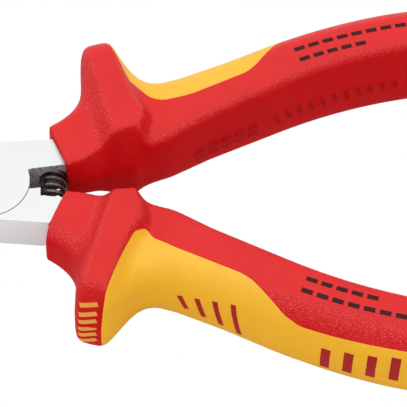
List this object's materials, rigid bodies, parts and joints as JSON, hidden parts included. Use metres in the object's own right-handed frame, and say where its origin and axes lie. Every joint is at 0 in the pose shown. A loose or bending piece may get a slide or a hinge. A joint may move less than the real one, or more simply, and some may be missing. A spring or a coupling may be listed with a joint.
{
  "type": "insulated diagonal cutting pliers",
  "caption": "Insulated diagonal cutting pliers with a lap joint, coil opening spring, red and yellow two-component grips with hand guards, and a lanyard eye",
  "frame": {"origin": "on the pivot axis, in the lower flat face of the steel head", "axes": "+Z is the pivot axis, from the lower face to the upper face of the head; +X runs from the jaws to the handle ends; +Y is towards the right half's handle, at rest with the jaws open"},
  "size_m": [0.1707, 0.1026, 0.0268],
  "materials": {
    "chromed_steel": "satin chrome-plated forged steel",
    "rivet_steel": "ground flush",
    "spring_steel": "black oxide wire",
    "yellow_core_plastic": "plain moulded",
    "red_grip_plastic": "satin, fine eroded grain",
    "yellow_soft_plastic": "satin, soft"
  },
  "bodies": {
    "right_half": {"right_arm": "chromed_steel", "pivot_rivet": "rivet_steel", "opening_spring": "spring_steel", "right_spring_pin": "rivet_steel", "right_inner_sleeve": "yellow_core_plastic", "right_grip_shell": "red_grip_plastic", "right_palm_pad": "yellow_soft_plastic"},
    "left_half": {"left_arm": "chromed_steel", "left_spring_pin": "rivet_steel", "left_inner_sleeve": "yellow_core_plastic", "left_grip_shell": "red_grip_plastic", "left_palm_pad": "yellow_soft_plastic", "tether_eye": "red_grip_plastic"}
  },
  "joints": [
    {"name": "jaw_hinge", "type": "hinge", "parent": "right_half", "child": "left_half", "pos_m": [0, 0, 0.005], "axis": [0, 0, 1], "range_deg": [0, 15], "deforming": ["opening_spring"]}
  ]
}
